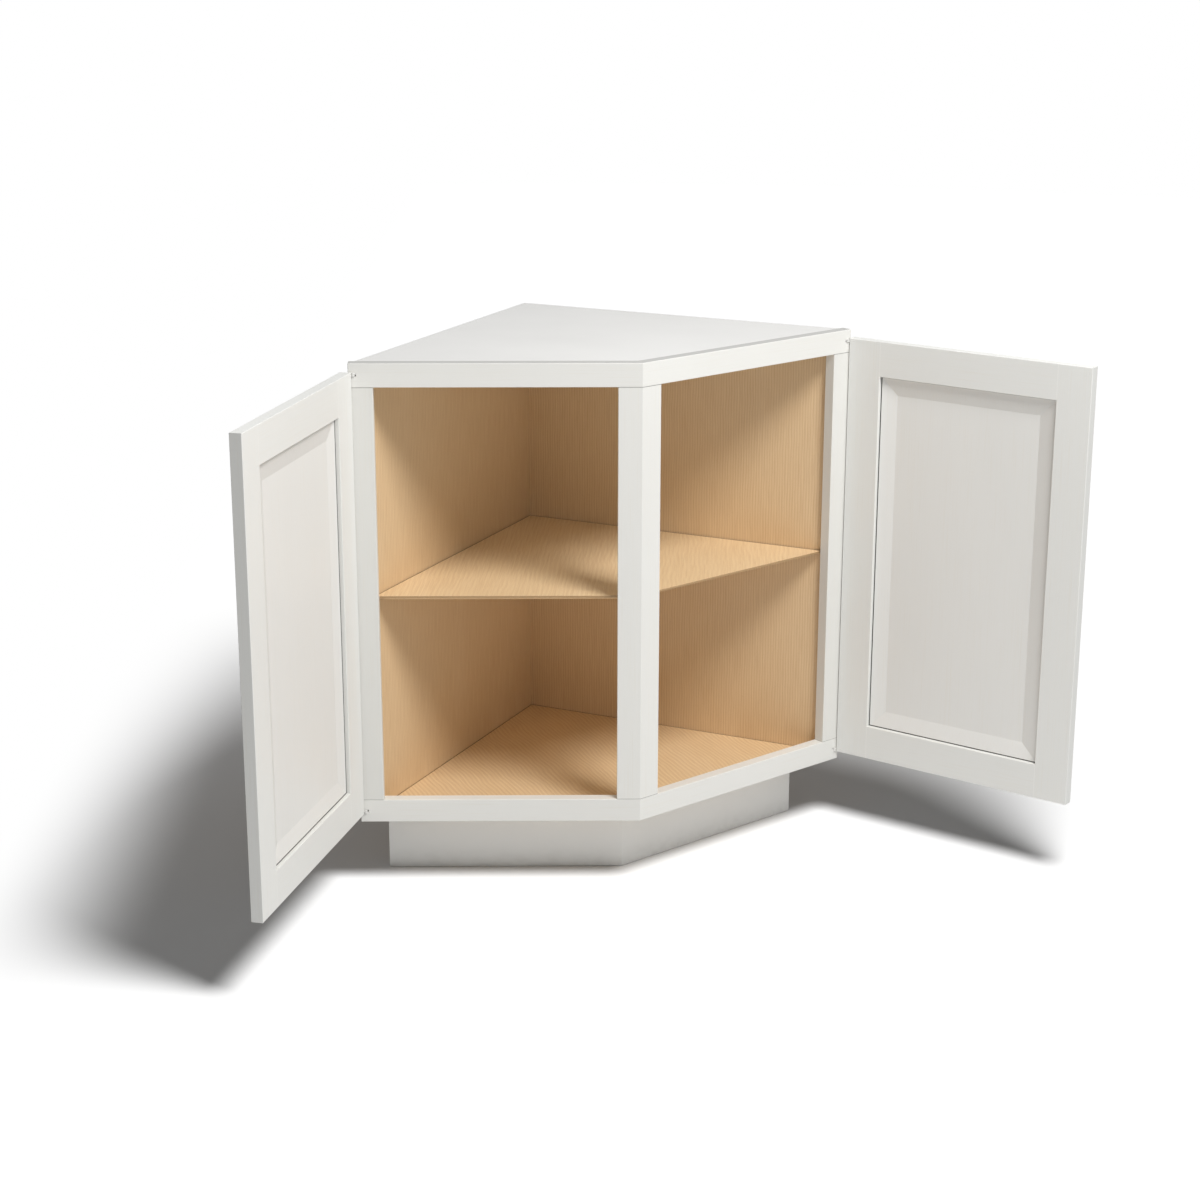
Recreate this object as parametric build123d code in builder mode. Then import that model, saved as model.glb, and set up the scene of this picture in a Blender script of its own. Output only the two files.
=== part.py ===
from build123d import *
import os
from math import acos, atan2, cos, radians, sin, sqrt, tan

# Diagonal corner base cabinet. Millimetres, Z up, the floor is z = 0.
# The origin is the outer back corner of the box, which goes into the corner of the room.
# The left wall is the plane x = 0 and the back wall is the plane y = 0. The left wall runs towards -Y,
# the back wall towards +X. Two equal faces close the plan to a kite with its nose on the line y = -x.
# Both doors are built in the pose of the photograph: open.

os.makedirs("parts", exist_ok=True)

# Overall sizes
wall_side = 609.6
nose_reach = 412.563
cabinet_height = 876.3
toe_height = 114.3
toe_recess = 79.4
toe_easing = 0.8

# Box
board = 16.0
housing = 6.0
tongue_thickness = 8.0
hanging_rail_height = 70.0
hanging_rail_length = 290.0
corner_block_leg = 60.0
corner_block_depth = 48.0

# Shelf
shelf_top = 493.4
shelf_thickness = 12.7
shelf_side_gap = 1.0
shelf_setback = 23.0
shelf_nosing = 3.0
shelf_undercut = 25.0
pin_radius = 2.5
pin_tab_width = 8.0
pin_tab_thickness = 3.5
pin_tab_length = 9.0
pin_bore = 10.0
pin_spots = (110.0, 300.0, 490.0)

# Face frames
frame_thickness = 19.05
frame_member = 38.1
frame_easing = 1.0
joint_easing = 0.6
tenon_thickness = 6.35
tenon_length = 15.0
tenon_shoulder = 6.0
tenon_end_room = 0.3
spline_width = 10.0
spline_thickness = 4.0
spline_stop = 19.0

# Doors
door_side_margin = 11.0
door_end_margin = 14.0
door_thickness = 19.05
door_member = 59.0
door_gap = 1.0
door_easing = 1.0
sticking = 0.8
open_angle = 105.0
panel_step = 7.0
panel_thickness = 6.0
panel_dish = 3.2
panel_bevel = 30.0
quirk_width = 1.2
quirk_depth = 2.5
groove_depth = 9.0
panel_tongue = 8.5

# Pivot hinges: one leaf in a kerf of the frame rail, one leaf in a kerf of the door stile
pivot_in = 7.9
pivot_back = 0.6
leaf_thickness = 2.5
leaf_length = 10.0
frame_leaf_depth = 12.0
door_leaf_depth = 10.0
leaf_set_in = 1.0
leaf_neck = 3.0
eye_radius = 3.0
hinge_gap = 0.3
pocket_radius = 4.9
pocket_floor = 0.5
hinge_pin_radius = 1.2

# Clearance of a pin all round in its bore
bore_clearance = 0.05

# The nose is where the two faces meet, on the line y = -x. Each face runs from it to the end of a wall
face_width = sqrt(nose_reach**2 + (wall_side - nose_reach) ** 2)
face_turn = atan2(wall_side - nose_reach, nose_reach)
mitre_angle = radians(45) + face_turn

# Levels
frame_bottom = toe_height
lower_joint = frame_bottom + frame_member
upper_joint = cabinet_height - frame_member
top_underside = cabinet_height - board
door_bottom = frame_bottom + door_end_margin
door_top = cabinet_height - door_end_margin
door_width = face_width - 2 * door_side_margin
door_height = door_top - door_bottom

# Depth of the rear of the toe boards behind the faces
toe_back = toe_recess + board

# The plane that mirrors the left half of the cabinet onto the right half
middle = Plane(origin=(0, 0, 0), x_dir=(1, -1, 0), z_dir=(1, 1, 0))

# Directions of the left face
along_face = Axis((0, -wall_side, 0), (cos(face_turn), sin(face_turn), 0))
into_cabinet = Axis((0, -wall_side, 0), (-sin(face_turn), cos(face_turn), 0))


def left_plan(height):
    """Horizontal plane on the left face: x runs along the face from its outer end, y goes into the cabinet."""
    return Plane(
        origin=(0, -wall_side, height),
        x_dir=(cos(face_turn), sin(face_turn), 0),
        z_dir=(0, 0, 1),
    )


def mitre_at(behind):
    """Distance along a face to the mitre plane, at a depth behind the face."""
    return face_width - behind / tan(mitre_angle)


def wall_at(behind):
    """Distance along a face to the outer plane of the side wall, at a depth behind the face."""
    return behind * tan(face_turn)


def front_end(inset, behind):
    """The y of a line parallel to the left wall where it reaches a depth behind the left face."""
    return -wall_side + (behind + inset * sin(face_turn)) / cos(face_turn)


def kite(inset, behind):
    """Plan outline with its two walls set in from the room walls and its two fronts set behind the faces."""
    front = front_end(inset, behind)
    nose = nose_reach - behind / sin(mitre_angle) / sqrt(2)
    return [(inset, -inset), (inset, front), (nose, -nose), (-front, -inset)]


def mirrored(original):
    """The right-hand twin of a left-hand piece."""
    with BuildPart() as twin:
        mirror(original.part, about=middle)
    return twin


# Box: two side walls, floor, top, hanging rails

pin_height = shelf_top - shelf_thickness - pin_radius
pin_planes_left = [
    Plane(origin=(board, -spot, pin_height), x_dir=(0, 1, 0), z_dir=(1, 0, 0)) for spot in pin_spots
]
pin_planes_right = [
    Plane(origin=(spot, -board, pin_height), x_dir=(1, 0, 0), z_dir=(0, -1, 0)) for spot in pin_spots
]
tongue_start = (board - tongue_thickness) / 2

with BuildPart() as side_left:
    # The front edge is cut parallel to the face, so the wall closes flat on the back of the frame
    with BuildSketch(Plane.XY):
        Polygon(
            (0, -board),
            (0, front_end(0, frame_thickness)),
            (board, front_end(board, frame_thickness)),
            (board, -board),
            align=None,
        )
    extrude(amount=top_underside)
    # Tongue that enters the other wall
    with BuildSketch(Plane.XY):
        with Locations((tongue_start, -board)):
            Rectangle(tongue_thickness, housing, align=(Align.MIN, Align.MIN))
    extrude(amount=top_underside)
    # Housing for the floor
    with BuildSketch(Plane.XY.offset(toe_height)):
        with Locations((board - housing, -housing)):
            Rectangle(housing, wall_side, align=(Align.MIN, Align.MAX))
    extrude(amount=board, mode=Mode.SUBTRACT)
    # Toe notch, cut back to the rear of the toe board
    with BuildSketch(left_plan(0)):
        Rectangle(wall_side, toe_back, align=(Align.CENTER, Align.MIN))
    extrude(amount=toe_height, mode=Mode.SUBTRACT)
    with BuildSketch(*pin_planes_left):
        Circle(pin_radius + bore_clearance)
    extrude(amount=-pin_bore - bore_clearance, mode=Mode.SUBTRACT)

with BuildPart() as side_right:
    with BuildSketch(Plane.XY):
        Polygon(
            (0, 0),
            (0, -board),
            (-front_end(board, frame_thickness), -board),
            (-front_end(0, frame_thickness), 0),
            align=None,
        )
    extrude(amount=top_underside)
    # Groove for the tongue of the other wall
    with BuildSketch(Plane.XY):
        with Locations((tongue_start, -board)):
            Rectangle(tongue_thickness, housing, align=(Align.MIN, Align.MIN))
    extrude(amount=top_underside, mode=Mode.SUBTRACT)
    # Housing for the floor
    with BuildSketch(Plane.XY.offset(toe_height)):
        with Locations((board - housing, -board)):
            Rectangle(wall_side, housing, align=(Align.MIN, Align.MIN))
    extrude(amount=board, mode=Mode.SUBTRACT)
    # Toe notch
    with BuildSketch(left_plan(0)):
        Rectangle(wall_side, toe_back, align=(Align.CENTER, Align.MIN))
    notch = extrude(amount=toe_height, mode=Mode.PRIVATE)
    mirror(notch, about=middle, mode=Mode.SUBTRACT)
    with BuildSketch(*pin_planes_right):
        Circle(pin_radius + bore_clearance)
    extrude(amount=-pin_bore - bore_clearance, mode=Mode.SUBTRACT)

with BuildPart() as bottom_panel:
    with BuildSketch(Plane.XY.offset(toe_height)):
        Polygon(*kite(board - housing, frame_thickness), align=None)
    extrude(amount=board)

with BuildPart() as top_panel:
    with BuildSketch(Plane.XY.offset(top_underside)):
        Polygon(*kite(0, frame_thickness), align=None)
    extrude(amount=board)

with BuildPart() as hanging_rail_left:
    with BuildSketch(Plane.XY.offset(top_underside - hanging_rail_height)):
        with Locations((board, -board)):
            Rectangle(board, hanging_rail_length, align=(Align.MIN, Align.MAX))
    extrude(amount=hanging_rail_height)

with BuildPart() as hanging_rail_right:
    with BuildSketch(Plane.XY.offset(top_underside - hanging_rail_height)):
        with Locations((2 * board, -board)):
            Rectangle(hanging_rail_length - board, board, align=(Align.MIN, Align.MAX))
    extrude(amount=hanging_rail_height)

# Toe boards: mitred at the nose, their outer ends cut flush with the walls

with BuildPart() as toe_board_left:
    with BuildSketch(left_plan(0)):
        Polygon(
            (wall_at(toe_recess), toe_recess),
            (mitre_at(toe_recess), toe_recess),
            (mitre_at(toe_back), toe_back),
            (wall_at(toe_back), toe_back),
            align=None,
        )
    extrude(amount=toe_height)
    front_edges = toe_board_left.faces().sort_by(into_cabinet)[0].edges()
    outer_end = front_edges.filter_by(Axis.Z).sort_by(along_face)[0]
    foot = front_edges.sort_by(Axis.Z)[0]
    chamfer([outer_end, foot], length=toe_easing)

toe_board_right = mirrored(toe_board_left)

with BuildPart() as toe_corner_block:
    with BuildSketch(left_plan(0)):
        Polygon(
            (mitre_at(toe_back) - corner_block_leg, toe_back),
            (mitre_at(toe_back), toe_back),
            (mitre_at(toe_back + corner_block_depth), toe_back + corner_block_depth),
            align=None,
        )
    extrude(amount=toe_height)
    mirror(about=middle)

# Shelf: one board, undercut along both fronts so that its edge looks thin, loose on six pins

with BuildPart() as shelf:
    with BuildSketch(Plane.XY.offset(shelf_top)):
        Polygon(*kite(board + shelf_side_gap, shelf_setback), align=None)
    extrude(amount=-shelf_thickness)
    underside = shelf.faces().sort_by(Axis.Z)[0]
    fronts = underside.edges().filter_by(Axis.X, reverse=True).filter_by(Axis.Y, reverse=True)
    chamfer(fronts, length=shelf_undercut, length2=shelf_thickness - shelf_nosing, reference=underside)

with BuildPart() as shelf_pins:
    with BuildSketch(*pin_planes_left):
        Circle(pin_radius)
    extrude(amount=-pin_bore)
    # The shelf lies on the flat tab
    with BuildSketch(*pin_planes_left):
        with Locations((0, pin_radius)):
            Rectangle(pin_tab_width, pin_tab_thickness, align=(Align.CENTER, Align.MAX))
    extrude(amount=pin_tab_length)
    mirror(about=middle)

# Face frames: rails over the full width of a face, stiles between them, mitred at the nose


def spline_plan(height):
    """Horizontal plane at the middle of the mitre: x runs along the mitre, y square across it."""
    centre = nose_reach - frame_thickness / 2 / sin(mitre_angle) / sqrt(2)
    return Plane(origin=(centre, -centre, height), x_dir=(1, -1, 0), z_dir=(0, 0, 1))


def tenon_outline(start, end):
    """Plan of the tenon of a stile that runs from start to end along the face: two opposite corners."""
    behind = (frame_thickness - tenon_thickness) / 2
    return (start + tenon_shoulder, behind), (end - tenon_shoulder, behind + tenon_thickness)


def draw_tenon(corners):
    """A rectangle on the plan, from its lowest corner."""
    (left, near), (right, far) = corners
    with Locations((left, near)):
        Rectangle(right - left, far - near, align=(Align.MIN, Align.MIN))


def hinge_levels(edge, inward):
    """Heights of a hinge at a door edge: frame leaf, start and end, then door leaf, start and end."""
    frame_start = edge + inward * leaf_set_in
    frame_end = frame_start + inward * leaf_thickness
    door_start = frame_end + inward * hinge_gap
    return frame_start, frame_end, door_start, door_start + inward * leaf_thickness


outer_tenon = tenon_outline(0, frame_member)
centre_tenon = tenon_outline(face_width - frame_member, mitre_at(frame_thickness) - spline_width / 2)


def frame_rail(outer_edge, inward):
    """A rail of the left face. Inward is the direction from its outer edge to the joint with the stiles."""
    joint = outer_edge + inward * frame_member
    frame_start, frame_end, door_start, door_end = hinge_levels(
        outer_edge + inward * door_end_margin, inward
    )
    with BuildPart() as rail:
        with BuildSketch(left_plan(outer_edge)):
            Polygon(
                (0, 0),
                (face_width, 0),
                (mitre_at(frame_thickness), frame_thickness),
                (0, frame_thickness),
                align=None,
            )
        extrude(amount=inward * frame_member)
        # The outer edges of the face are rounded, the joint line with the stiles is only broken
        face_edges = rail.faces().sort_by(into_cabinet)[0].edges()
        long_edges = face_edges.filter_by(Axis.Z, reverse=True).sort_by(Axis.Z, reverse=inward > 0)
        outer_end = face_edges.filter_by(Axis.Z).sort_by(along_face)[0]
        fillet([long_edges[-1], outer_end], radius=frame_easing)
        face_edges = rail.faces().sort_by(into_cabinet)[0].edges()
        long_edges = face_edges.filter_by(Axis.Z, reverse=True).sort_by(Axis.Z, reverse=inward > 0)
        chamfer(long_edges[0], length=joint_easing)
        # Mortises for the two stiles
        with BuildSketch(left_plan(joint)):
            draw_tenon(outer_tenon)
            draw_tenon(centre_tenon)
        extrude(amount=-inward * (tenon_length + tenon_end_room), mode=Mode.SUBTRACT)
        # Slot of the mitre spline
        with BuildSketch(spline_plan(joint)):
            Rectangle(spline_thickness, spline_width)
        extrude(amount=-inward * (frame_member - spline_stop), mode=Mode.SUBTRACT)
        # Kerf of the frame leaf, and beside it the pocket in which the eye of the door leaf turns
        with BuildSketch(left_plan(frame_start)):
            with Locations((pivot_in - eye_radius, 0)):
                Rectangle(leaf_length, frame_leaf_depth, align=(Align.MIN, Align.MIN))
        extrude(amount=frame_end - frame_start, mode=Mode.SUBTRACT)
        with BuildSketch(left_plan(frame_end)):
            with Locations((pivot_in, pivot_back)):
                Circle(pocket_radius)
        extrude(amount=door_end - frame_end + inward * pocket_floor, mode=Mode.SUBTRACT)
    return rail


def frame_stile(outline, tenon, rounded):
    """A stile of the left face with a tenon at each end."""
    with BuildPart() as stile:
        with BuildSketch(left_plan(lower_joint)):
            Polygon(*outline, align=None)
        extrude(amount=upper_joint - lower_joint)
        uprights = stile.faces().sort_by(into_cabinet)[0].edges().filter_by(Axis.Z).sort_by(along_face)
        if rounded:
            fillet(uprights[0], radius=frame_easing)
            uprights = stile.faces().sort_by(into_cabinet)[0].edges().filter_by(Axis.Z).sort_by(along_face)
            chamfer(uprights[-1], length=joint_easing)
        else:
            chamfer(uprights[0], length=joint_easing)
        with BuildSketch(left_plan(lower_joint - tenon_length)):
            draw_tenon(tenon)
        extrude(amount=upper_joint - lower_joint + 2 * tenon_length)
        with BuildSketch(spline_plan(lower_joint)):
            Rectangle(spline_thickness, spline_width)
        extrude(amount=upper_joint - lower_joint, mode=Mode.SUBTRACT)
    return stile


frame_left_top_rail = frame_rail(cabinet_height, -1)
frame_left_bottom_rail = frame_rail(frame_bottom, 1)
frame_left_outer_stile = frame_stile(
    [(0, 0), (frame_member, 0), (frame_member, frame_thickness), (0, frame_thickness)],
    outer_tenon,
    rounded=True,
)
frame_left_centre_stile = frame_stile(
    [
        (face_width - frame_member, 0),
        (face_width, 0),
        (mitre_at(frame_thickness), frame_thickness),
        (face_width - frame_member, frame_thickness),
    ],
    centre_tenon,
    rounded=False,
)
frame_right_top_rail = mirrored(frame_left_top_rail)
frame_right_bottom_rail = mirrored(frame_left_bottom_rail)
frame_right_outer_stile = mirrored(frame_left_outer_stile)
frame_right_centre_stile = mirrored(frame_left_centre_stile)

with BuildPart() as mitre_spline:
    with BuildSketch(spline_plan(frame_bottom + spline_stop)):
        Rectangle(spline_thickness, spline_width)
    extrude(amount=cabinet_height - frame_bottom - 2 * spline_stop)

# Left door, built open. Its back plane has x along the door from the hinge edge, y up and z to the front

pivot = left_plan(0).from_local_coords((pivot_in, pivot_back, 0))
swing = face_turn - radians(open_angle)
edge_from_pivot = door_side_margin - pivot_in
back_from_pivot = pivot_back + door_gap


def door_plan(height):
    """Horizontal plane on the hinge line that turns with the left door."""
    return Plane(origin=(pivot.X, pivot.Y, height), x_dir=(cos(swing), sin(swing), 0), z_dir=(0, 0, 1))


door_back = Plane(
    origin=door_plan(door_bottom).from_local_coords((edge_from_pivot, -back_from_pivot, 0)),
    x_dir=door_plan(0).x_dir,
    z_dir=-door_plan(0).y_dir,
)
door_foot = Plane(origin=door_back.origin, x_dir=door_back.x_dir, z_dir=(0, 0, -1))
door_centre = door_back.from_local_coords((door_width / 2, door_height / 2, 0))
along_door = Axis(door_back.origin, door_back.x_dir)
through_door = Axis(door_back.origin, door_back.z_dir)
opening_width = door_width - 2 * door_member
opening_height = door_height - 2 * door_member
middle_of_door = Plane(origin=door_centre, z_dir=door_back.x_dir)

with BuildPart() as left_door_free_stile:
    with BuildSketch(door_back):
        with Locations((door_width - door_member, 0)):
            Rectangle(door_member, door_height, align=(Align.MIN, Align.MIN))
    extrude(amount=door_thickness)
    chamfer(left_door_free_stile.edges().filter_by(Axis.Z).sort_by(along_door)[:2], length=sticking)
    outer_edges = left_door_free_stile.edges().filter_by(Axis.Z).sort_by(along_door)[-2:]
    fillet(outer_edges + left_door_free_stile.edges().filter_by(along_door), radius=door_easing)
    # Groove for the panel and for the stub tenons of the rails
    with BuildSketch(door_back.offset(panel_step)):
        with Locations((door_width - door_member, 0)):
            Rectangle(groove_depth, door_height, align=(Align.MIN, Align.MIN))
    extrude(amount=panel_thickness, mode=Mode.SUBTRACT)

# The ends of a rail are coped: they reach over the bevels that run along the stiles
with BuildPart() as left_door_bottom_rail:
    with BuildSketch(door_foot):
        Polygon(
            (door_member - sticking, 0),
            (door_width - door_member + sticking, 0),
            (door_width - door_member, sticking),
            (door_width - door_member, door_thickness - sticking),
            (door_width - door_member + sticking, door_thickness),
            (door_member - sticking, door_thickness),
            (door_member, door_thickness - sticking),
            (door_member, sticking),
            align=None,
        )
    extrude(amount=-door_member)
    long_edges = left_door_bottom_rail.edges().filter_by(along_door).sort_by(Axis.Z)
    fillet(long_edges[:2], radius=door_easing)
    chamfer(left_door_bottom_rail.edges().filter_by(along_door).sort_by(Axis.Z)[-2:], length=sticking)
    with BuildSketch(door_back.offset(panel_step)):
        with Locations((door_member, door_member)):
            Rectangle(opening_width, groove_depth, align=(Align.MIN, Align.MAX))
    extrude(amount=panel_thickness, mode=Mode.SUBTRACT)
    # Stub tenons
    with BuildSketch(door_back.offset(panel_step)):
        with Locations((door_member, 0)):
            Rectangle(groove_depth, door_member - groove_depth, align=(Align.MAX, Align.MIN))
        with Locations((door_width - door_member, 0)):
            Rectangle(groove_depth, door_member - groove_depth, align=(Align.MIN, Align.MIN))
    extrude(amount=panel_thickness)

with BuildPart() as left_door_top_rail:
    mirror(left_door_bottom_rail.part, about=Plane(origin=door_centre, z_dir=(0, 0, 1)))

# The panel is dished: its back falls away to a sunk field, its front rises to a raised field
with BuildPart() as left_door_panel:
    with BuildSketch(door_back.offset(panel_step)):
        with Locations((door_width / 2, door_height / 2)):
            Rectangle(opening_width + 2 * panel_tongue, opening_height + 2 * panel_tongue)
    extrude(amount=panel_thickness)
    with BuildSketch(door_back.offset(panel_step)):
        with Locations((door_width / 2, door_height / 2)):
            Rectangle(opening_width, opening_height)
    with BuildSketch(door_back.offset(panel_step + panel_dish)):
        with Locations((door_width / 2, door_height / 2)):
            Rectangle(opening_width - 2 * panel_bevel, opening_height - 2 * panel_bevel)
    loft(mode=Mode.SUBTRACT)
    # A quirk, a narrow groove, parts the dished back from the frame
    with BuildSketch(door_back.offset(panel_step)):
        with Locations((door_width / 2, door_height / 2)):
            Rectangle(opening_width, opening_height)
            Rectangle(opening_width - 2 * quirk_width, opening_height - 2 * quirk_width, mode=Mode.SUBTRACT)
    extrude(amount=quirk_depth, mode=Mode.SUBTRACT)
    with BuildSketch(door_back.offset(panel_step + panel_thickness)):
        with Locations((door_width / 2, door_height / 2)):
            Rectangle(opening_width, opening_height)
    with BuildSketch(door_back.offset(panel_step + panel_thickness + panel_dish)):
        with Locations((door_width / 2, door_height / 2)):
            Rectangle(opening_width - 2 * panel_bevel, opening_height - 2 * panel_bevel)
    loft()

# Hinges of the left side

upper_hinge = hinge_levels(door_top, -1)
lower_hinge = hinge_levels(door_bottom, 1)


def door_leaf(levels):
    """A door leaf: an eye on the pin, and a short neck that clears the frame at every angle."""
    start, end = levels[2], levels[3]
    neck_end = -back_from_pivot - leaf_neck
    reach = sqrt(edge_from_pivot**2 + neck_end**2)
    touch = atan2(neck_end, edge_from_pivot) - acos(eye_radius / reach)
    with BuildPart() as leaf:
        with BuildSketch(door_plan(start)):
            Circle(eye_radius)
            Polygon(
                (0, 0),
                (eye_radius * cos(touch), eye_radius * sin(touch)),
                (edge_from_pivot, neck_end),
                (edge_from_pivot, -back_from_pivot),
                align=None,
            )
            with Locations((edge_from_pivot, -back_from_pivot)):
                Rectangle(leaf_length, door_leaf_depth, align=(Align.MIN, Align.MAX))
            Circle(hinge_pin_radius + bore_clearance, mode=Mode.SUBTRACT)
        extrude(amount=end - start)
    return leaf


def frame_leaf(levels):
    """A frame leaf: a blade in the kerf of the rail, flush with the face, and an eye in front of it."""
    start, end = levels[0], levels[1]
    with BuildPart() as leaf:
        with BuildSketch(left_plan(start)):
            with Locations((pivot_in - eye_radius, 0)):
                Rectangle(leaf_length, frame_leaf_depth, align=(Align.MIN, Align.MIN))
            with Locations((pivot_in, pivot_back)):
                Circle(eye_radius)
                Circle(hinge_pin_radius + bore_clearance, mode=Mode.SUBTRACT)
        extrude(amount=end - start)
    return leaf


with BuildPart() as left_door_hinge_stile:
    mirror(left_door_free_stile.part, about=middle_of_door)
    for levels in (upper_hinge, lower_hinge):
        with BuildSketch(door_plan(levels[2])):
            with Locations((edge_from_pivot, -back_from_pivot)):
                Rectangle(leaf_length, door_leaf_depth, align=(Align.MIN, Align.MAX))
        extrude(amount=levels[3] - levels[2], mode=Mode.SUBTRACT)

left_upper_frame_leaf = frame_leaf(upper_hinge)
left_lower_frame_leaf = frame_leaf(lower_hinge)
left_upper_door_leaf = door_leaf(upper_hinge)
left_lower_door_leaf = door_leaf(lower_hinge)

with BuildPart() as left_hinge_pins:
    for levels in (upper_hinge, lower_hinge):
        with BuildSketch(door_plan(levels[0])):
            Circle(hinge_pin_radius)
        extrude(amount=levels[3] - levels[0])

pieces = {
    "side_left": side_left,
    "side_right": side_right,
    "bottom_panel": bottom_panel,
    "top_panel": top_panel,
    "hanging_rail_left": hanging_rail_left,
    "hanging_rail_right": hanging_rail_right,
    "toe_board_left": toe_board_left,
    "toe_board_right": toe_board_right,
    "toe_corner_block": toe_corner_block,
    "shelf": shelf,
    "shelf_pins": shelf_pins,
    "frame_left_top_rail": frame_left_top_rail,
    "frame_left_bottom_rail": frame_left_bottom_rail,
    "frame_left_outer_stile": frame_left_outer_stile,
    "frame_left_centre_stile": frame_left_centre_stile,
    "frame_right_top_rail": frame_right_top_rail,
    "frame_right_bottom_rail": frame_right_bottom_rail,
    "frame_right_outer_stile": frame_right_outer_stile,
    "frame_right_centre_stile": frame_right_centre_stile,
    "mitre_spline": mitre_spline,
    "left_door_hinge_stile": left_door_hinge_stile,
    "left_door_free_stile": left_door_free_stile,
    "left_door_top_rail": left_door_top_rail,
    "left_door_bottom_rail": left_door_bottom_rail,
    "left_door_panel": left_door_panel,
    "left_upper_frame_leaf": left_upper_frame_leaf,
    "left_lower_frame_leaf": left_lower_frame_leaf,
    "left_upper_door_leaf": left_upper_door_leaf,
    "left_lower_door_leaf": left_lower_door_leaf,
    "left_hinge_pins": left_hinge_pins,
    "right_door_hinge_stile": mirrored(left_door_hinge_stile),
    "right_door_free_stile": mirrored(left_door_free_stile),
    "right_door_top_rail": mirrored(left_door_top_rail),
    "right_door_bottom_rail": mirrored(left_door_bottom_rail),
    "right_door_panel": mirrored(left_door_panel),
    "right_upper_frame_leaf": mirrored(left_upper_frame_leaf),
    "right_lower_frame_leaf": mirrored(left_lower_frame_leaf),
    "right_upper_door_leaf": mirrored(left_upper_door_leaf),
    "right_lower_door_leaf": mirrored(left_lower_door_leaf),
    "right_hinge_pins": mirrored(left_hinge_pins),
}

for name, piece in pieces.items():
    piece.part.label = name
    export_step(piece.part, f"parts/{name}.step")
    print(name, len(piece.part.solids()), round(piece.part.volume))
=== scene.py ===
# %% [markdown]
# # Dressing a diagonal corner base cabinet
# The cabinet is made for a kitchen corner, and is shown with its two doors thrown open. Its
# joinery is already modelled piece by piece, so this lesson gives each piece its finish:
# satin white enamel outside, clear-coated maple veneer inside, and a little bright metal.
# The model is loaded as a fixed frame. Nothing here moves it or cuts it; only its surfaces
# change, which is why almost every cell below builds a material out of nodes.

import math

import bmesh
import bpy
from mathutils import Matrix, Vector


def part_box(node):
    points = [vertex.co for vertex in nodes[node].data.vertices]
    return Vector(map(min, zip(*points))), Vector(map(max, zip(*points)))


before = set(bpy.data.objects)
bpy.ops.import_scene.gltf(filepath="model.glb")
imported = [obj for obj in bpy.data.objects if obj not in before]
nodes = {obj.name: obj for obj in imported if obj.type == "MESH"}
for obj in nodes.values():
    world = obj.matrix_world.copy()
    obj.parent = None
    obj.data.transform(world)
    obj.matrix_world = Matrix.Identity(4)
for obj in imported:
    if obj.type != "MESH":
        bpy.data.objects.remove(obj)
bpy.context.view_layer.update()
print("pieces loaded:", len(nodes))

# %% [markdown]
# ## The camera
# The camera looks down on the cabinet from well above it, with a long lens, so the upright
# edges stay nearly parallel. A camera could be aimed with a constraint, but a place, a turn
# and a focal length written down as numbers say exactly the same thing every time.
# The place and turn were worked out by lining up the cabinet's straight edges.

# %% Put up the camera
camera_place = (1.849066, -3.678481, 1.580488)
camera_turn = (73.0468, -0.0654, 24.8276)
camera_lens = 70.1649
sensor_width = 36

camera_data = bpy.data.cameras.new("corner_view")
camera_data.lens = camera_lens
camera_data.sensor_width = sensor_width
camera = bpy.data.objects.new("corner_view", camera_data)
camera.location = camera_place
camera.rotation_euler = [math.radians(angle) for angle in camera_turn]
bpy.context.scene.collection.objects.link(camera)
bpy.context.scene.camera = camera
bpy.context.scene.view_settings.view_transform = "Standard"
print("camera at", camera_place, "with a", camera_lens, "mm lens")

# %% [markdown]
# ## Colours read off a screen
# A colour picked from a picture is a screen value from 0 to 255, bent by the display curve.
# Shaders count in amounts of light, so each colour is unbent once, here, and every finish
# below can be written in the screen values that a painter's eye knows.

# %% Turn screen colours into light
def screen(red, green, blue):
    """A screen colour, 0 to 255 a channel, as the light values that a shader wants."""
    light = []
    for value in (red, green, blue):
        share = value / 255
        light.append(share / 12.92 if share <= 0.04045 else ((share + 0.055) / 1.055) ** 2.4)
    return (*light, 1)


print("mid grey as light:", [round(value, 3) for value in screen(128, 128, 128)])

# %% [markdown]
# ## A white studio
# The cabinet stands on a seamless white sweep. The world is white to the camera and in
# reflections, but gives the cabinet only a soft part of its light. A Light Path node tells
# the two apart, so the background can be pure white while the white paint keeps its shading.

# %% Light the world
fill_strength = 0.26


def work_out(tree, operation, first, second=0):
    """One step of a sum. Each of the two may be a node's output or a plain number."""
    step = tree.nodes.new("ShaderNodeMath")
    step.operation = operation
    for socket, value in zip(step.inputs, (first, second)):
        if isinstance(value, (int, float)):
            socket.default_value = value
        else:
            tree.links.new(value, socket)
    return step.outputs[0]


world = bpy.data.worlds.new("white_studio")
world.use_nodes = True
bpy.context.scene.world = world
world_tree = world.node_tree
sky = world_tree.nodes["Background"]
sky.inputs["Color"].default_value = (1, 1, 1, 1)
ray = world_tree.nodes.new("ShaderNodeLightPath").outputs
seen_or_mirrored = work_out(world_tree, "MAXIMUM", ray["Is Camera Ray"], ray["Is Glossy Ray"])
any_sight = work_out(world_tree, "MAXIMUM", seen_or_mirrored, ray["Is Transmission Ray"])
level = world_tree.nodes.new("ShaderNodeMapRange")
level.inputs["To Min"].default_value = fill_strength
level.inputs["To Max"].default_value = 1
world_tree.links.new(any_sight, level.inputs["Value"])
world_tree.links.new(level.outputs["Result"], sky.inputs["Strength"])
print("world fill:", fill_strength)

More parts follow.
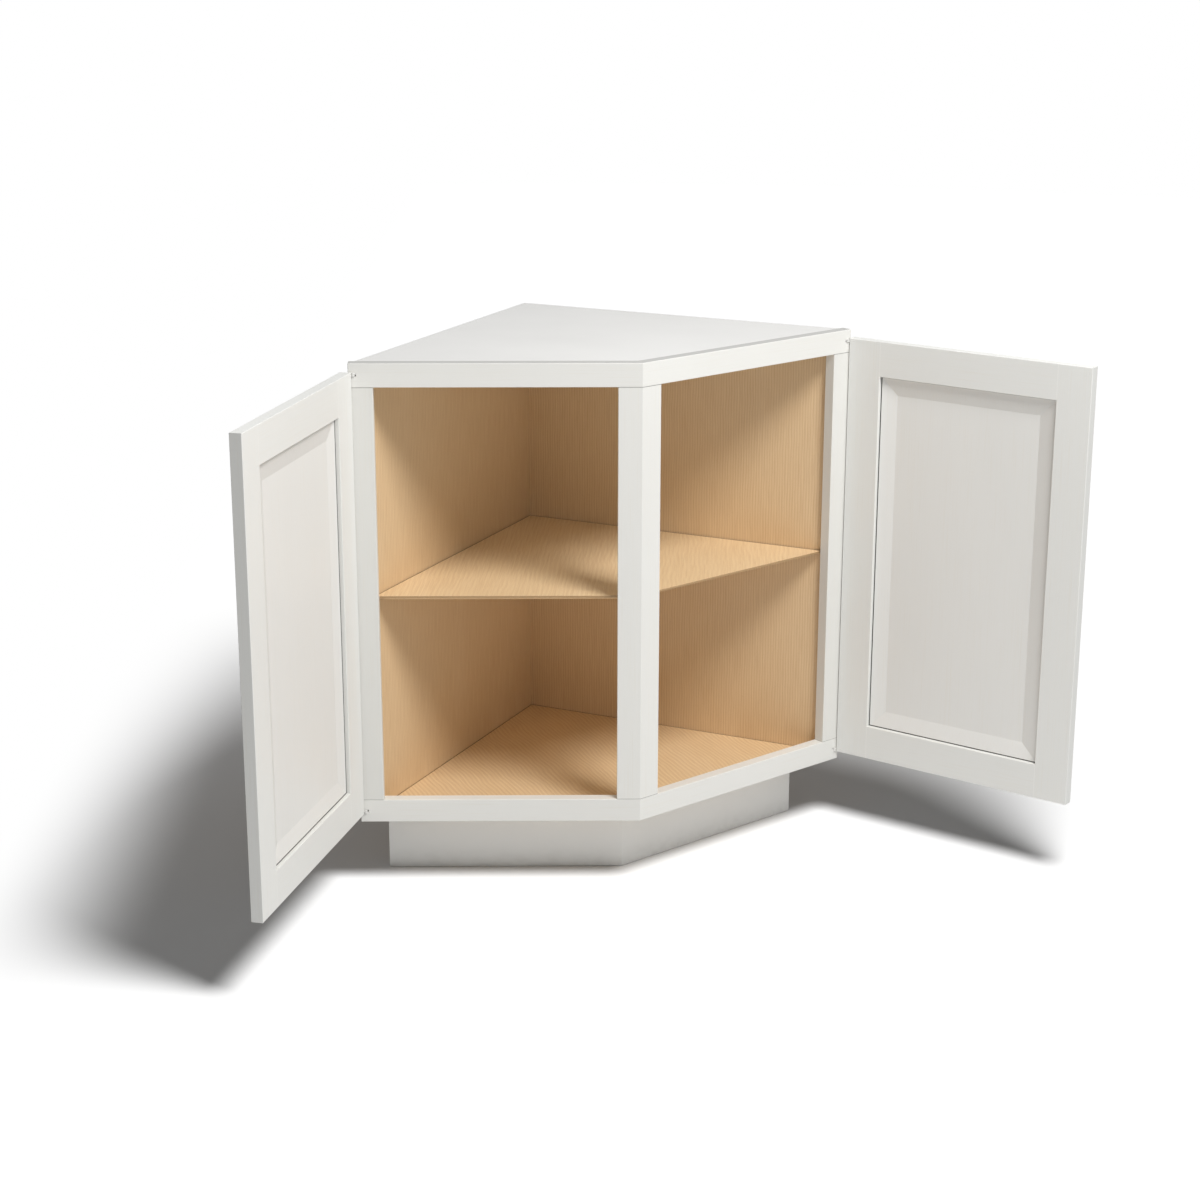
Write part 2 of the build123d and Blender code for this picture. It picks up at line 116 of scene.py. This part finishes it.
# %% [markdown]
# ## One soft lamp close by
# The rest of the light comes from one round softbox up to the right. It is near, so it lights
# the right face more than the left one and the upper shelf more than the lower floor, and it
# draws the slanting soft shadows on the inner walls. A sun lamp would give every wall the
# same light, so a point lamp with a wide radius is used: the radius softens the shadow's edge.
# Light linking keeps it off the floor, which would show where the lamp's light fades away.

# %% Hang the lamp
lamp_place = (1.85, -1.1, 2.85)
lamp_radius = 0.5
lamp_share = 6.9


def hang_lamp(name, place, radius, share, lit_collection):
    """Hangs a round softbox that lights one collection only. Share is how white it makes a face 1 m away."""
    lamp_data = bpy.data.lights.new(name, "POINT")
    lamp_data.energy = share * 4 * math.pi ** 2
    lamp_data.shadow_soft_size = radius
    lamp = bpy.data.objects.new(name, lamp_data)
    lamp.location = place
    bpy.context.scene.collection.objects.link(lamp)
    lamp.light_linking.receiver_collection = lit_collection


cabinet_pieces = bpy.data.collections.new("cabinet_pieces")
for piece in nodes.values():
    cabinet_pieces.objects.link(piece)
hang_lamp("near_softbox", lamp_place, lamp_radius, lamp_share, cabinet_pieces)
print("lamp at", lamp_place, "share of white at one metre", lamp_share)

# %% [markdown]
# ## The floor and its shadow
# One flat disc is enough, with a round softbox that shines on it alone. A lamp's light fades
# with distance, which would draw a bright pool round the cabinet. The floor's own grey undoes
# that: at each place it is the wanted white over the light that arrives there, worked out from
# the distance to the lamp. So the floor melts into the background everywhere, except where
# the cabinet stops the light and the floor falls to a soft grey shadow. On the left the
# shadow is let out into plain white, as a retoucher would, before it gets too long.

# %% Lay the floor
floor_radius = 9
floor_sides = 96
floor_lamp_place = (1.69, -1.05, 2.69)
floor_lamp_radius = 0.5
floor_lamp_share = 19

floor_mesh = bpy.data.meshes.new("studio_floor")
disc = bmesh.new()
bmesh.ops.create_circle(disc, cap_ends=True, segments=floor_sides, radius=floor_radius)
disc.to_mesh(floor_mesh)
disc.free()
floor = bpy.data.objects.new("studio_floor", floor_mesh)
bpy.context.scene.collection.objects.link(floor)

only_floor = bpy.data.collections.new("only_floor")
only_floor.objects.link(floor)
hang_lamp("floor_softbox", floor_lamp_place, floor_lamp_radius, floor_lamp_share, only_floor)
print("floor lamp at", floor_lamp_place)

# %% Paint the floor so that the lamp's light comes out even
floor_white = 1.05
floor_bounce_grey = 0.39

floor_paint = bpy.data.materials.new("studio_floor")
floor_paint.use_nodes = True
floor_tree = floor_paint.node_tree
floor_tree.nodes.remove(floor_tree.nodes["Principled BSDF"])

# A level floor gets the lamp's share times its height, over the cube of the distance to it.
floor_spot = floor_tree.nodes.new("ShaderNodeTexCoord")
to_lamp = floor_tree.nodes.new("ShaderNodeVectorMath")
to_lamp.operation = "DISTANCE"
to_lamp.inputs[1].default_value = floor_lamp_place
floor_tree.links.new(floor_spot.outputs["Object"], to_lamp.inputs[0])
distance_cubed = work_out(floor_tree, "POWER", to_lamp.outputs["Value"], 3)
from_lamp = work_out(floor_tree, "DIVIDE", floor_lamp_share * floor_lamp_place[2], distance_cubed)
on_floor = work_out(floor_tree, "ADD", from_lamp, fill_strength)
even_grey = work_out(floor_tree, "DIVIDE", floor_white, on_floor)

floor_seen = floor_tree.nodes.new("ShaderNodeBsdfDiffuse")
floor_tree.links.new(even_grey, floor_seen.inputs["Color"])

# What bounces off the floor onto the cabinet is a plain grey, so the even white doesn't light it.
floor_bounce = floor_tree.nodes.new("ShaderNodeBsdfDiffuse")
bounce_levels = [floor_bounce_grey] * 3
floor_bounce.inputs["Color"].default_value = (*bounce_levels, 1)
in_camera = floor_tree.nodes.new("ShaderNodeLightPath").outputs["Is Camera Ray"]
floor_choice = floor_tree.nodes.new("ShaderNodeMixShader")
floor_tree.links.new(in_camera, floor_choice.inputs[0])
floor_tree.links.new(floor_bounce.outputs[0], floor_choice.inputs[1])
floor_tree.links.new(floor_seen.outputs[0], floor_choice.inputs[2])
floor_mesh.materials.append(floor_paint)
print("floor painted with", len(floor_tree.nodes), "nodes")

# %% Let the shadow out into white on the left
fade_turn = math.radians(24.8)
fade_starts = -0.565
fade_ends = -0.9

sideways = floor_tree.nodes.new("ShaderNodeVectorMath")
sideways.operation = "DOT_PRODUCT"
sideways.inputs[1].default_value = (math.cos(fade_turn), math.sin(fade_turn), 0)
floor_tree.links.new(floor_spot.outputs["Object"], sideways.inputs[0])
fade = floor_tree.nodes.new("ShaderNodeMapRange")
fade.interpolation_type = "SMOOTHSTEP"
fade.inputs["From Min"].default_value = fade_starts
fade.inputs["From Max"].default_value = fade_ends
floor_tree.links.new(sideways.outputs["Value"], fade.inputs["Value"])
plain_white = floor_tree.nodes.new("ShaderNodeEmission")
plain_white.inputs["Strength"].default_value = 1
faded = floor_tree.nodes.new("ShaderNodeMixShader")
fade_seen = work_out(floor_tree, "MULTIPLY", fade.outputs["Result"], in_camera)
floor_tree.links.new(fade_seen, faded.inputs[0])
floor_tree.links.new(floor_choice.outputs[0], faded.inputs[1])
floor_tree.links.new(plain_white.outputs[0], faded.inputs[2])
floor_tree.links.new(faded.outputs[0], floor_tree.nodes["Material Output"].inputs["Surface"])
print("shadow fades between", fade_starts, "and", fade_ends, "m sideways")

# %% [markdown]
# ## Starting a finish
# Every finish is a Principled shader fed by a few texture nodes. Writing each node and link
# by hand hides the idea under plumbing, so a small bench of helpers comes first. Each one
# stands for something a finisher would say: where on the piece, which way the wood runs, how
# big the streaks are, how much of one colour to let into another.

# %% Bench tools for finishes
def start_finish(name, roughness):
    """A new node material: returns it, its node tree and its shader."""
    finish = bpy.data.materials.new(name)
    finish.use_nodes = True
    tree = finish.node_tree
    shader = tree.nodes["Principled BSDF"]
    shader.inputs["Roughness"].default_value = roughness
    return finish, tree, shader


def along_wood(tree, runs):
    """Place on the piece with X along the wood: runs is "up", or degrees across the plan."""
    place = tree.nodes.new("ShaderNodeTexCoord").outputs["Object"]
    turn = tree.nodes.new("ShaderNodeMapping")
    turned = (0, math.pi / 2, 0) if runs == "up" else (0, 0, -math.radians(runs))
    turn.inputs["Rotation"].default_value = turned
    tree.links.new(place, turn.inputs["Vector"])
    return turn.outputs["Vector"]


def streaks(tree, place, length, width, detail=3):
    """Noise from 0 to 1 whose marks are about that long along X and that wide across, in metres."""
    stretch = tree.nodes.new("ShaderNodeMapping")
    stretch.inputs["Scale"].default_value = (1 / length, 1 / width, 1 / width)
    tree.links.new(place, stretch.inputs["Vector"])
    noise = tree.nodes.new("ShaderNodeTexNoise")
    noise.inputs["Scale"].default_value = 1
    noise.inputs["Detail"].default_value = detail
    tree.links.new(stretch.outputs["Vector"], noise.inputs["Vector"])
    return noise.outputs["Fac"]


def spread_out(tree, value, low, high, least=0, most=1):
    """Stretches low..high of a value over least..most, and stops at both ends."""
    reach = tree.nodes.new("ShaderNodeMapRange")
    reach.inputs["From Min"].default_value = low
    reach.inputs["From Max"].default_value = high
    reach.inputs["To Min"].default_value = least
    reach.inputs["To Max"].default_value = most
    tree.links.new(value, reach.inputs["Value"])
    return reach.outputs["Result"]


def times(tree, first, second):
    """Two values multiplied; either may be a plain number."""
    return work_out(tree, "MULTIPLY", first, second)


def where(tree):
    """The X, Y and Z of a place on the piece, each by itself."""
    place = tree.nodes.new("ShaderNodeTexCoord")
    split = tree.nodes.new("ShaderNodeSeparateXYZ")
    tree.links.new(place.outputs["Object"], split.inputs[0])
    return split.outputs


def facing(tree):
    """The X, Y and Z of the way that a face looks."""
    shape = tree.nodes.new("ShaderNodeNewGeometry")
    split = tree.nodes.new("ShaderNodeSeparateXYZ")
    tree.links.new(shape.outputs["True Normal"], split.inputs[0])
    return split.outputs


def tint(tree, under, over, amount):
    """Lets a second colour into the first by a varying amount. The first may be a node's colour."""
    # The node has sockets for every kind of value: 6, 7 and output 2 are its colours.
    mix = tree.nodes.new("ShaderNodeMix")
    mix.data_type = "RGBA"
    if isinstance(under, tuple):
        mix.inputs[6].default_value = under
    else:
        tree.links.new(under, mix.inputs[6])
    mix.inputs[7].default_value = over
    tree.links.new(amount, mix.inputs[0])
    return mix.outputs[2]


def relief(tree, height, depth, normal=None):
    """Bumps that stand depth metres high where the height value is 1."""
    bump = tree.nodes.new("ShaderNodeBump")
    bump.inputs["Distance"].default_value = depth
    tree.links.new(height, bump.inputs["Height"])
    if normal:
        tree.links.new(normal, bump.inputs["Normal"])
    return bump.outputs["Normal"]


def lay_over(finish, colour, amount):
    """Lays a colour over a finish, as far as the amount says."""
    tree = finish.node_tree
    colour_in = tree.nodes["Principled BSDF"].inputs["Base Color"]
    under = colour_in.links[0].from_socket
    tree.links.new(tint(tree, under, colour, amount), colour_in)


print("bench tools ready")

# %% [markdown]
# ## Painted highlights on the arrises
# An arris is the edge where two faces meet. It is painted a little brighter than the
# faces: a painted highlight along the edge, with a little rubbing. The Bevel node gives the
# normal that a slightly rounded edge would have; wherever it differs from the true normal
# there is an edge close by. Taking the dot product of the two makes a mask of the arrises
# without any texture painting.

# %% Find the arrises
def near_arris(tree, reach):
    """From 0 on the flat to 1 on an edge, over that many metres."""
    on_flat = 0.99
    on_edge = 0.8
    rounded = tree.nodes.new("ShaderNodeBevel")
    rounded.samples = 4
    rounded.inputs["Radius"].default_value = reach
    true_shape = tree.nodes.new("ShaderNodeNewGeometry")
    compare = tree.nodes.new("ShaderNodeVectorMath")
    compare.operation = "DOT_PRODUCT"
    tree.links.new(rounded.outputs["Normal"], compare.inputs[0])
    tree.links.new(true_shape.outputs["True Normal"], compare.inputs[1])
    return spread_out(tree, compare.outputs["Value"], on_flat, on_edge)


print("arris mask ready")

# %% [markdown]
# ## Satin white enamel
# The frames and doors are hardwood, sprayed with a catalysed white enamel. Up close it isn't
# flat: the wood's grain telegraphs through as faint streaks along each member, the spray
# leaves a fine orange peel, and the arrises are painted paler: a painted highlight, with a
# little rubbing. The streaks must turn with the member, up a stile and along a rail, so the
# finish is made once for each direction instead of once for all.

# %% Mix the enamel
arris_reach = 0.0016
grain_depth = 0.00004
peel_depth = 0.000012


def enamel(name, colour, runs, roughness=0.42):
    """White enamel over wood that runs in one direction."""
    finish, tree, shader = start_finish(name, roughness)
    place = along_wood(tree, runs)
    thin_film = screen(222, 214, 197)
    arris_highlight_white = screen(246, 245, 241)
    grey_shade = screen(214, 213, 210)

    broad = streaks(tree, place, 0.5, 0.16, detail=2)
    grain = streaks(tree, place, 0.11, 0.0016, detail=4)
    peel = streaks(tree, place, 0.0011, 0.0011, detail=1)

    shaded = tint(tree, colour, grey_shade, spread_out(tree, broad, 0.35, 0.75, 0, 0.16))
    grained = tint(tree, shaded, thin_film, spread_out(tree, grain, 0.52, 0.78, 0, 0.2))
    # Painted highlight on the arrises, with a little rubbing.
    arris_highlight = times(tree, near_arris(tree, arris_reach), spread_out(tree, grain, 0.3, 0.7, 0.4, 0.8))
    highlighted = tint(tree, grained, arris_highlight_white, arris_highlight)
    tree.links.new(highlighted, shader.inputs["Base Color"])

    gloss = spread_out(tree, broad, 0.3, 0.7, roughness - 0.05, roughness + 0.06)
    tree.links.new(gloss, shader.inputs["Roughness"])
    combed = relief(tree, grain, grain_depth)
    tree.links.new(relief(tree, peel, peel_depth, combed), shader.inputs["Normal"])
    return finish


def dress(name, finish):
    """Puts a finish on a cabinet piece in place of its plain one."""
    for slot in nodes[name].material_slots:
        slot.material = finish
    dressed.add(name)


dressed = set()
frame_white = screen(235, 234, 229)
# The outer stiles are painted a shade darker than the rest of the frame: painted shade from the open doors
# beside them.
outer_stile_shade_white = screen(228, 227, 222)
left_face_turn = 25.53
right_face_turn = 90 - left_face_turn
rail_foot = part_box("frame_left_top_rail")[0][2]
rail_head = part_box("frame_left_bottom_rail")[1][2]
joint_reach = 0.0009
joint_shade_grey = screen(150, 149, 145)


def fine_joints(finish):
    """A thin grey line where the two ends of a stile meet the rails: a dark joint, with painted shade in it.
    """
    tree = finish.node_tree
    height = where(tree)["Z"]
    for joint in (rail_foot, rail_head):
        away = work_out(tree, "ABSOLUTE", work_out(tree, "SUBTRACT", height, joint))
        near_joint = spread_out(tree, away, joint_reach * 0.6, joint_reach, 0.8, 0)
        # Painted shade in the joint line, over the dark joint.
        lay_over(finish, joint_shade_grey, near_joint)


for stile, white in (("outer", outer_stile_shade_white), ("centre", frame_white)):
    stile_enamel = enamel(f"frame_{stile}_stile_enamel", white, "up")
    fine_joints(stile_enamel)
    for side in ("left", "right"):
        dress(f"frame_{side}_{stile}_stile", stile_enamel)
print("stiles dressed:", sorted(dressed))

# %% [markdown]
# ## Rails, and the dull strip on top
# The rails run the whole width of a face and lie level, so their streaks follow the face's
# turn across the plan. The narrow top edge of the upper rails is hidden by a worktop in use,
# and is painted plainly greyer. The true normal's Z and the height of a point are enough to
# find it.

# %% Dress the rails
def grey_on_top(finish, edge_height, colour):
    """Greys the upward faces at a height."""
    tree = finish.node_tree
    just_under = 0.0004
    upward = spread_out(tree, facing(tree)["Z"], 0.9, 0.98)
    high = spread_out(tree, where(tree)["Z"], edge_height - just_under, edge_height - just_under / 2)
    lay_over(finish, colour, times(tree, upward, high))


top_edge_grey = screen(184, 183, 179)
top_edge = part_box("frame_left_top_rail")[1][2]
for side, turn in (("left", left_face_turn), ("right", right_face_turn)):
    top_finish = enamel(f"frame_{side}_top_rail_enamel", frame_white, turn)
    grey_on_top(top_finish, top_edge, top_edge_grey)
    dress(f"frame_{side}_top_rail", top_finish)
    dress(f"frame_{side}_bottom_rail", enamel(f"frame_{side}_rail_enamel", frame_white, turn))
print("rail top edge at", round(top_edge, 4), "m")

# %% [markdown]
# ## The doors
# A door is two stiles, two rails and a panel, all enamelled, and painted a little darker than
# the face frame: painted shade, for the open doors' backs stand in less light. Open doors are
# turned a good way from the faces, so their rails' direction is written down for the open door
# as it was drawn. The pattern is fixed to the piece and rides with it when the door shuts.

# %% Dress the doors
# Painted shade: the doors' white is a little darker than the frame's.
door_shaded_white = screen(233, 233, 229)
door_swing = 105
door_turns = {"left": left_face_turn - door_swing, "right": door_swing - 90 - left_face_turn}

door_stile_enamel = enamel("door_stile_enamel", door_shaded_white, "up", roughness=0.45)
for side, turn in door_turns.items():
    rail_enamel = enamel(f"{side}_door_rail_enamel", door_shaded_white, turn, roughness=0.45)
    dress(f"{side}_door_hinge_stile", door_stile_enamel)
    dress(f"{side}_door_free_stile", door_stile_enamel)
    dress(f"{side}_door_top_rail", rail_enamel)
    dress(f"{side}_door_bottom_rail", rail_enamel)
print("open doors lie at", door_turns, "degrees across the plan")

# %% [markdown]
# ## The dished panels
# Seen from inside, a panel lies in a narrow groove, and a bevel 30 mm wide falls from there
# to a sunk field; the front rises in the same way. The bevels are modelled, but their gentle
# fall catches little light, so a Bump node steepens them to the eye: its height falls from
# the groove to the field. The groove is painted dark: painted shade in the crease between
# the panel and the frame. Both need the distance in from the panel's edge. A Mapping node of
# the texture kind moves the middle of the panel to zero and turns it square; then the smaller
# of the distances to the side and to the end is the one that counts.

# %% Dress the panels
# Painted shade: the panels' white is a little darker than the frame's, as for the doors.
panel_shaded_white = screen(233, 232, 228)
seen_width = 0.3172
seen_height = 0.616
groove_width = 0.0012
bevel_width = 0.03
steeper_by = 0.005
groove_shade_grey = screen(62, 60, 57)
back_side = {"left": 1, "right": -1}
front_ends = -0.0018
back_begins = -0.0014


def in_from_edge(tree, side):
    """How far in from the edge of a door's panel, and 1 on its front or -1 on its back."""
    low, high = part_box(f"{side}_door_panel")
    square = tree.nodes.new("ShaderNodeMapping")
    square.vector_type = "TEXTURE"
    square.inputs["Location"].default_value = [(first + last) / 2 for first, last in zip(low, high)]
    square.inputs["Rotation"].default_value = (0, 0, math.radians(door_turns[side]))
    square.inputs["Scale"].default_value = (1, back_side[side], 1)
    place = tree.nodes.new("ShaderNodeTexCoord")
    split = tree.nodes.new("ShaderNodeSeparateXYZ")
    tree.links.new(place.outputs["Object"], square.inputs["Vector"])
    tree.links.new(square.outputs["Vector"], split.inputs[0])
    off_middle = work_out(tree, "ABSOLUTE", split.outputs["X"])
    off_centre = work_out(tree, "ABSOLUTE", split.outputs["Z"])
    from_side = work_out(tree, "SUBTRACT", seen_width / 2, off_middle)
    from_end = work_out(tree, "SUBTRACT", seen_height / 2, off_centre)
    front_or_back = spread_out(tree, split.outputs["Y"], front_ends, back_begins, 1, -1)
    return work_out(tree, "MINIMUM", from_side, from_end), front_or_back


for side in door_turns:
    panel_enamel = enamel(f"{side}_door_panel_enamel", panel_shaded_white, "up", roughness=0.45)
    tree = panel_enamel.node_tree
    inset, front_or_back = in_from_edge(tree, side)
    # Painted shade in the narrow groove round the panel.
    groove_shade = spread_out(tree, inset, groove_width, groove_width + 0.001, 1, 0)
    lay_over(panel_enamel, groove_shade_grey, groove_shade)
    normal_in = tree.nodes["Principled BSDF"].inputs["Normal"]
    fall = times(tree, spread_out(tree, inset, groove_width, bevel_width), front_or_back)
    tree.links.new(relief(tree, fall, steeper_by, normal_in.links[0].from_socket), normal_in)
    dress(f"{side}_door_panel", panel_enamel)
print("bevels steeper by", steeper_by, "m over", bevel_width, "m")

# %% [markdown]
# ## Maple veneer on the walls
# Inside, the boards wear a clear-coated maple veneer laid with its grain upright. It shows
# pinstripes about 5 mm apart, hardly darker than the rest, some broad warm and pale drifts,
# and tiny pores. A Wave texture draws the stripes: its bands repeat every 0.314 units, so
# the scale is that number over the wanted spacing. The two walls meet in the corner, and X
# minus Y runs along both of them, so one finish wraps round the corner.

# %% Mix the veneer
wave_period = 2 * math.pi / 20
wall_stripe_gap = 0.0048
# The flat boards get a paler maple than the walls: painted light, a lit and a shaded copy of one veneer.
wall_maple = screen(228, 200, 160)
flat_maple_lit = screen(237, 209, 167)
pore_brown = screen(150, 112, 76)


def deeper(colour, red, green, blue):
    """The same wood with each of its light values multiplied."""
    return (colour[0] * red, colour[1] * green, colour[2] * blue, 1)


def combine(tree, along, across):
    """A flat place with the first value as X and the second as Y."""
    joined = tree.nodes.new("ShaderNodeCombineXYZ")
    tree.links.new(along, joined.inputs["X"])
    tree.links.new(across, joined.inputs["Y"])
    return joined.outputs["Vector"]


def pinstripes(tree, place, spacing, waviness):
    """Bands across Y, that many metres apart, pushed out of line by the waviness."""
    wave = tree.nodes.new("ShaderNodeTexWave")
    wave.bands_direction = "Y"
    wave.inputs["Scale"].default_value = wave_period / spacing
    wave.inputs["Distortion"].default_value = waviness
    wave.inputs["Detail"].default_value = 2
    wave.inputs["Detail Scale"].default_value = 0.25
    tree.links.new(place, wave.inputs["Vector"])
    return wave.outputs["Fac"]


def veneer(name, maple, find_place, spacing, waviness, strength):
    """Clear-coated maple veneer: find_place gives the place with X along its grain."""
    finish, tree, shader = start_finish(name, 0.46)
    maple_pale = deeper(maple, 1.12, 1.18, 1.32)
    maple_dark = deeper(maple, 0.74, 0.63, 0.53)
    place = find_place(tree)
    drift = streaks(tree, place, 0.9, 0.11, detail=2)
    fibre = streaks(tree, place, 0.06, 0.0014, detail=3)
    pores = streaks(tree, place, 0.006, 0.0005, detail=1)
    stripes = pinstripes(tree, place, spacing, waviness)

    warm = tint(tree, maple, maple_pale, spread_out(tree, drift, 0.5, 0.75, 0, 0.35))
    fibred = tint(tree, warm, maple_dark, spread_out(tree, fibre, 0.42, 0.7, 0, 0.4))
    striped = tint(tree, fibred, maple_dark, times(tree, stripes, strength))
    pored = tint(tree, striped, pore_brown, spread_out(tree, pores, 0.66, 0.78, 0, 0.35))
    tree.links.new(pored, shader.inputs["Base Color"])
    tree.links.new(spread_out(tree, fibre, 0.3, 0.7, 0.4, 0.52), shader.inputs["Roughness"])
    tree.links.new(relief(tree, fibre, 0.00003), shader.inputs["Normal"])
    shader.inputs["Coat Weight"].default_value = 0.12
    shader.inputs["Coat Roughness"].default_value = 0.3
    return finish


def up_the_walls(tree):
    """X up the wall, and Y along both walls, round the corner."""
    spot = where(tree)
    return combine(tree, spot["Z"], work_out(tree, "SUBTRACT", spot["X"], spot["Y"]))


wall_veneer = veneer("wall_veneer", wall_maple, up_the_walls, wall_stripe_gap, waviness=3.5, strength=0.4)
dress("side_left", wall_veneer)
dress("side_right", wall_veneer)
print("veneer stripes every", wall_stripe_gap, "m on the walls")

# %% [markdown]
# ## Veneer on the floor and the shelf
# The floor and shelf are cut from wider sheets. Their figure is a fine wavy ripple, about
# 7 mm apart, that runs from the nose back towards the corner. It is the same veneer with
# the grain turned in the plan. A thin dark line of painted shade runs where a board meets the
# walls, and the shelf's sawn edges are browner, partly painted shade on the edge.

# %% Dress the floor and the shelf
flat_stripe_gap = 0.0075
floor_grain_turn = -42
shelf_grain_turn = -68
line_softness = 0.0004


def across_floor(tree):
    """X runs from the corner to the nose of the cabinet, give or take a few degrees."""
    return along_wood(tree, floor_grain_turn)


def across_shelf(tree):
    """X runs about 20 degrees off the left wall's direction."""
    return along_wood(tree, shelf_grain_turn)


def line_by_the_walls(finish, board_starts, width):
    """A dark line of painted shade along both walls, on a board that begins board_starts metres in from
    their outside.
    """
    tree = finish.node_tree
    spot = where(tree)
    from_corner = work_out(tree, "MINIMUM", spot["X"], times(tree, spot["Y"], -1))
    line_ends = board_starts + width
    lay_over(finish, joint_shade_brown, spread_out(tree, from_corner, line_ends - line_softness, line_ends, 1, 0))


def brown_edges(finish):
    """Browner where the face isn't level: the sawn edges of a board, darkened further as painted shade."""
    tree = finish.node_tree
    level_face = work_out(tree, "ABSOLUTE", facing(tree)["Z"])
    lay_over(finish, edge_shade_brown, spread_out(tree, level_face, 0.6, 0.9, 1, 0))


joint_shade_brown = deeper(flat_maple_lit, 0.3, 0.24, 0.18)
edge_shade_brown = deeper(flat_maple_lit, 0.5, 0.42, 0.34)
floor_veneer = veneer("floor_veneer", flat_maple_lit, across_floor, flat_stripe_gap, waviness=8, strength=0.42)
line_by_the_walls(floor_veneer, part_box("side_left")[1][0], 0.002)
shelf_veneer = veneer("shelf_veneer", flat_maple_lit, across_shelf, flat_stripe_gap, waviness=7, strength=0.22)
line_by_the_walls(shelf_veneer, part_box("shelf")[0][0], 0.0016)
brown_edges(shelf_veneer)
dress("bottom_panel", floor_veneer)
dress("shelf", shelf_veneer)
print("shelf and floor dressed")

# %% [markdown]
# ## The white top and the toe boards
# The top is a white melamine board: cleaner, flatter and a little bluer than the enamel,
# with a fine pebble instead of grain. The toe boards have the same face, painted brighter
# than the top as painted light against the shade under the cabinet, but shoes and mops
# reach them, so the last few centimetres above the floor are scuffed grey.

# %% Dress the top and the toe boards
def melamine(name, colour):
    """A white printed board face with a fine even pebble."""
    finish, tree, shader = start_finish(name, 0.4)
    place = along_wood(tree, 0)
    cloud = streaks(tree, place, 0.22, 0.22, detail=3)
    pebble = streaks(tree, place, 0.0009, 0.0009, detail=1)
    board_grey = screen(190, 190, 190)
    clouded = tint(tree, colour, board_grey, spread_out(tree, cloud, 0.4, 0.75, 0, 0.1))
    tree.links.new(clouded, shader.inputs["Base Color"])
    tree.links.new(spread_out(tree, cloud, 0.3, 0.7, 0.36, 0.46), shader.inputs["Roughness"])
    tree.links.new(relief(tree, pebble, 0.00001), shader.inputs["Normal"])
    return finish


def scuff_low_down(finish, reach):
    """Greys the face near the floor, up to that height, with broken marks."""
    tree = finish.node_tree
    place = along_wood(tree, 0)
    low = spread_out(tree, where(tree)["Z"], reach, 0.002)
    marks = spread_out(tree, streaks(tree, place, 0.05, 0.012, detail=3), 0.4, 0.75, 0, 0.22)
    lay_over(finish, screen(196, 194, 190), times(tree, low, marks))


scuff_reach = 0.035
dress("top_panel", melamine("top_board", screen(229, 228, 225)))
# Painted light: the toe boards' white is brighter than the top's, to stand against the shade under the
# cabinet.
toe_face_lightened = melamine("toe_board_face_lightened", screen(243, 243, 240))
scuff_low_down(toe_face_lightened, scuff_reach)
dress("toe_board_left", toe_face_lightened)
dress("toe_board_right", toe_face_lightened)
print("top and toe boards dressed")

# %% [markdown]
# ## Bare maple and bright metal
# The hanging rails, the glue block behind the toe and the spline in the nose are plain sanded
# maple without veneer figure. The hinges are sprayed white with the doors, pins and all, so
# they hardly show. The pins under the shelf are zinc plated: metal with a fine brushed
# streak in its roughness.

# %% Dress the hidden wood and the metal
def sanded_maple(name, runs):
    """Solid maple with soft growth rings and no lacquer."""
    finish, tree, shader = start_finish(name, 0.62)
    place = along_wood(tree, runs)
    rings = streaks(tree, place, 0.6, 0.012, detail=2)
    fibre = streaks(tree, place, 0.05, 0.0009, detail=3)
    early_wood = screen(230, 202, 164)
    late_wood = screen(199, 161, 118)
    fibre_brown = screen(184, 143, 100)
    ringed = tint(tree, early_wood, late_wood, spread_out(tree, rings, 0.4, 0.7, 0, 0.6))
    fibred = tint(tree, ringed, fibre_brown, spread_out(tree, fibre, 0.5, 0.8, 0, 0.4))
    tree.links.new(fibred, shader.inputs["Base Color"])
    tree.links.new(spread_out(tree, fibre, 0.3, 0.7, 0.55, 0.7), shader.inputs["Roughness"])
    tree.links.new(relief(tree, fibre, 0.00008), shader.inputs["Normal"])
    return finish


def bright_zinc(name):
    """Zinc plated steel, drawn lengthways."""
    finish, tree, shader = start_finish(name, 0.3)
    place = along_wood(tree, "up")
    drawn = streaks(tree, place, 0.02, 0.0004, detail=2)
    bloom = streaks(tree, place, 0.003, 0.003, detail=2)
    shader.inputs["Metallic"].default_value = 1
    bright = screen(205, 207, 209)
    dulled = screen(160, 162, 166)
    plated = tint(tree, bright, dulled, spread_out(tree, bloom, 0.4, 0.7, 0, 0.6))
    tree.links.new(plated, shader.inputs["Base Color"])
    tree.links.new(spread_out(tree, drawn, 0.3, 0.7, 0.22, 0.42), shader.inputs["Roughness"])
    tree.links.new(relief(tree, drawn, 0.00001), shader.inputs["Normal"])
    return finish


dress("hanging_rail_left", sanded_maple("left_rail_maple", 90))
dress("hanging_rail_right", sanded_maple("right_rail_maple", 0))
upright_maple = sanded_maple("upright_maple", "up")
dress("toe_corner_block", upright_maple)
dress("mitre_spline", upright_maple)

hinge_white = enamel("hinge_enamel", screen(226, 225, 221), "up", roughness=0.35)
for side in ("left", "right"):
    for leaf in ("upper_frame_leaf", "lower_frame_leaf", "upper_door_leaf", "lower_door_leaf"):
        dress(f"{side}_{leaf}", hinge_white)
    dress(f"{side}_hinge_pins", hinge_white)
dress("shelf_pins", bright_zinc("pin_zinc"))
print("pieces dressed:", len(dressed), "of", len(nodes))
print("left plain:", sorted(set(nodes) - dressed))
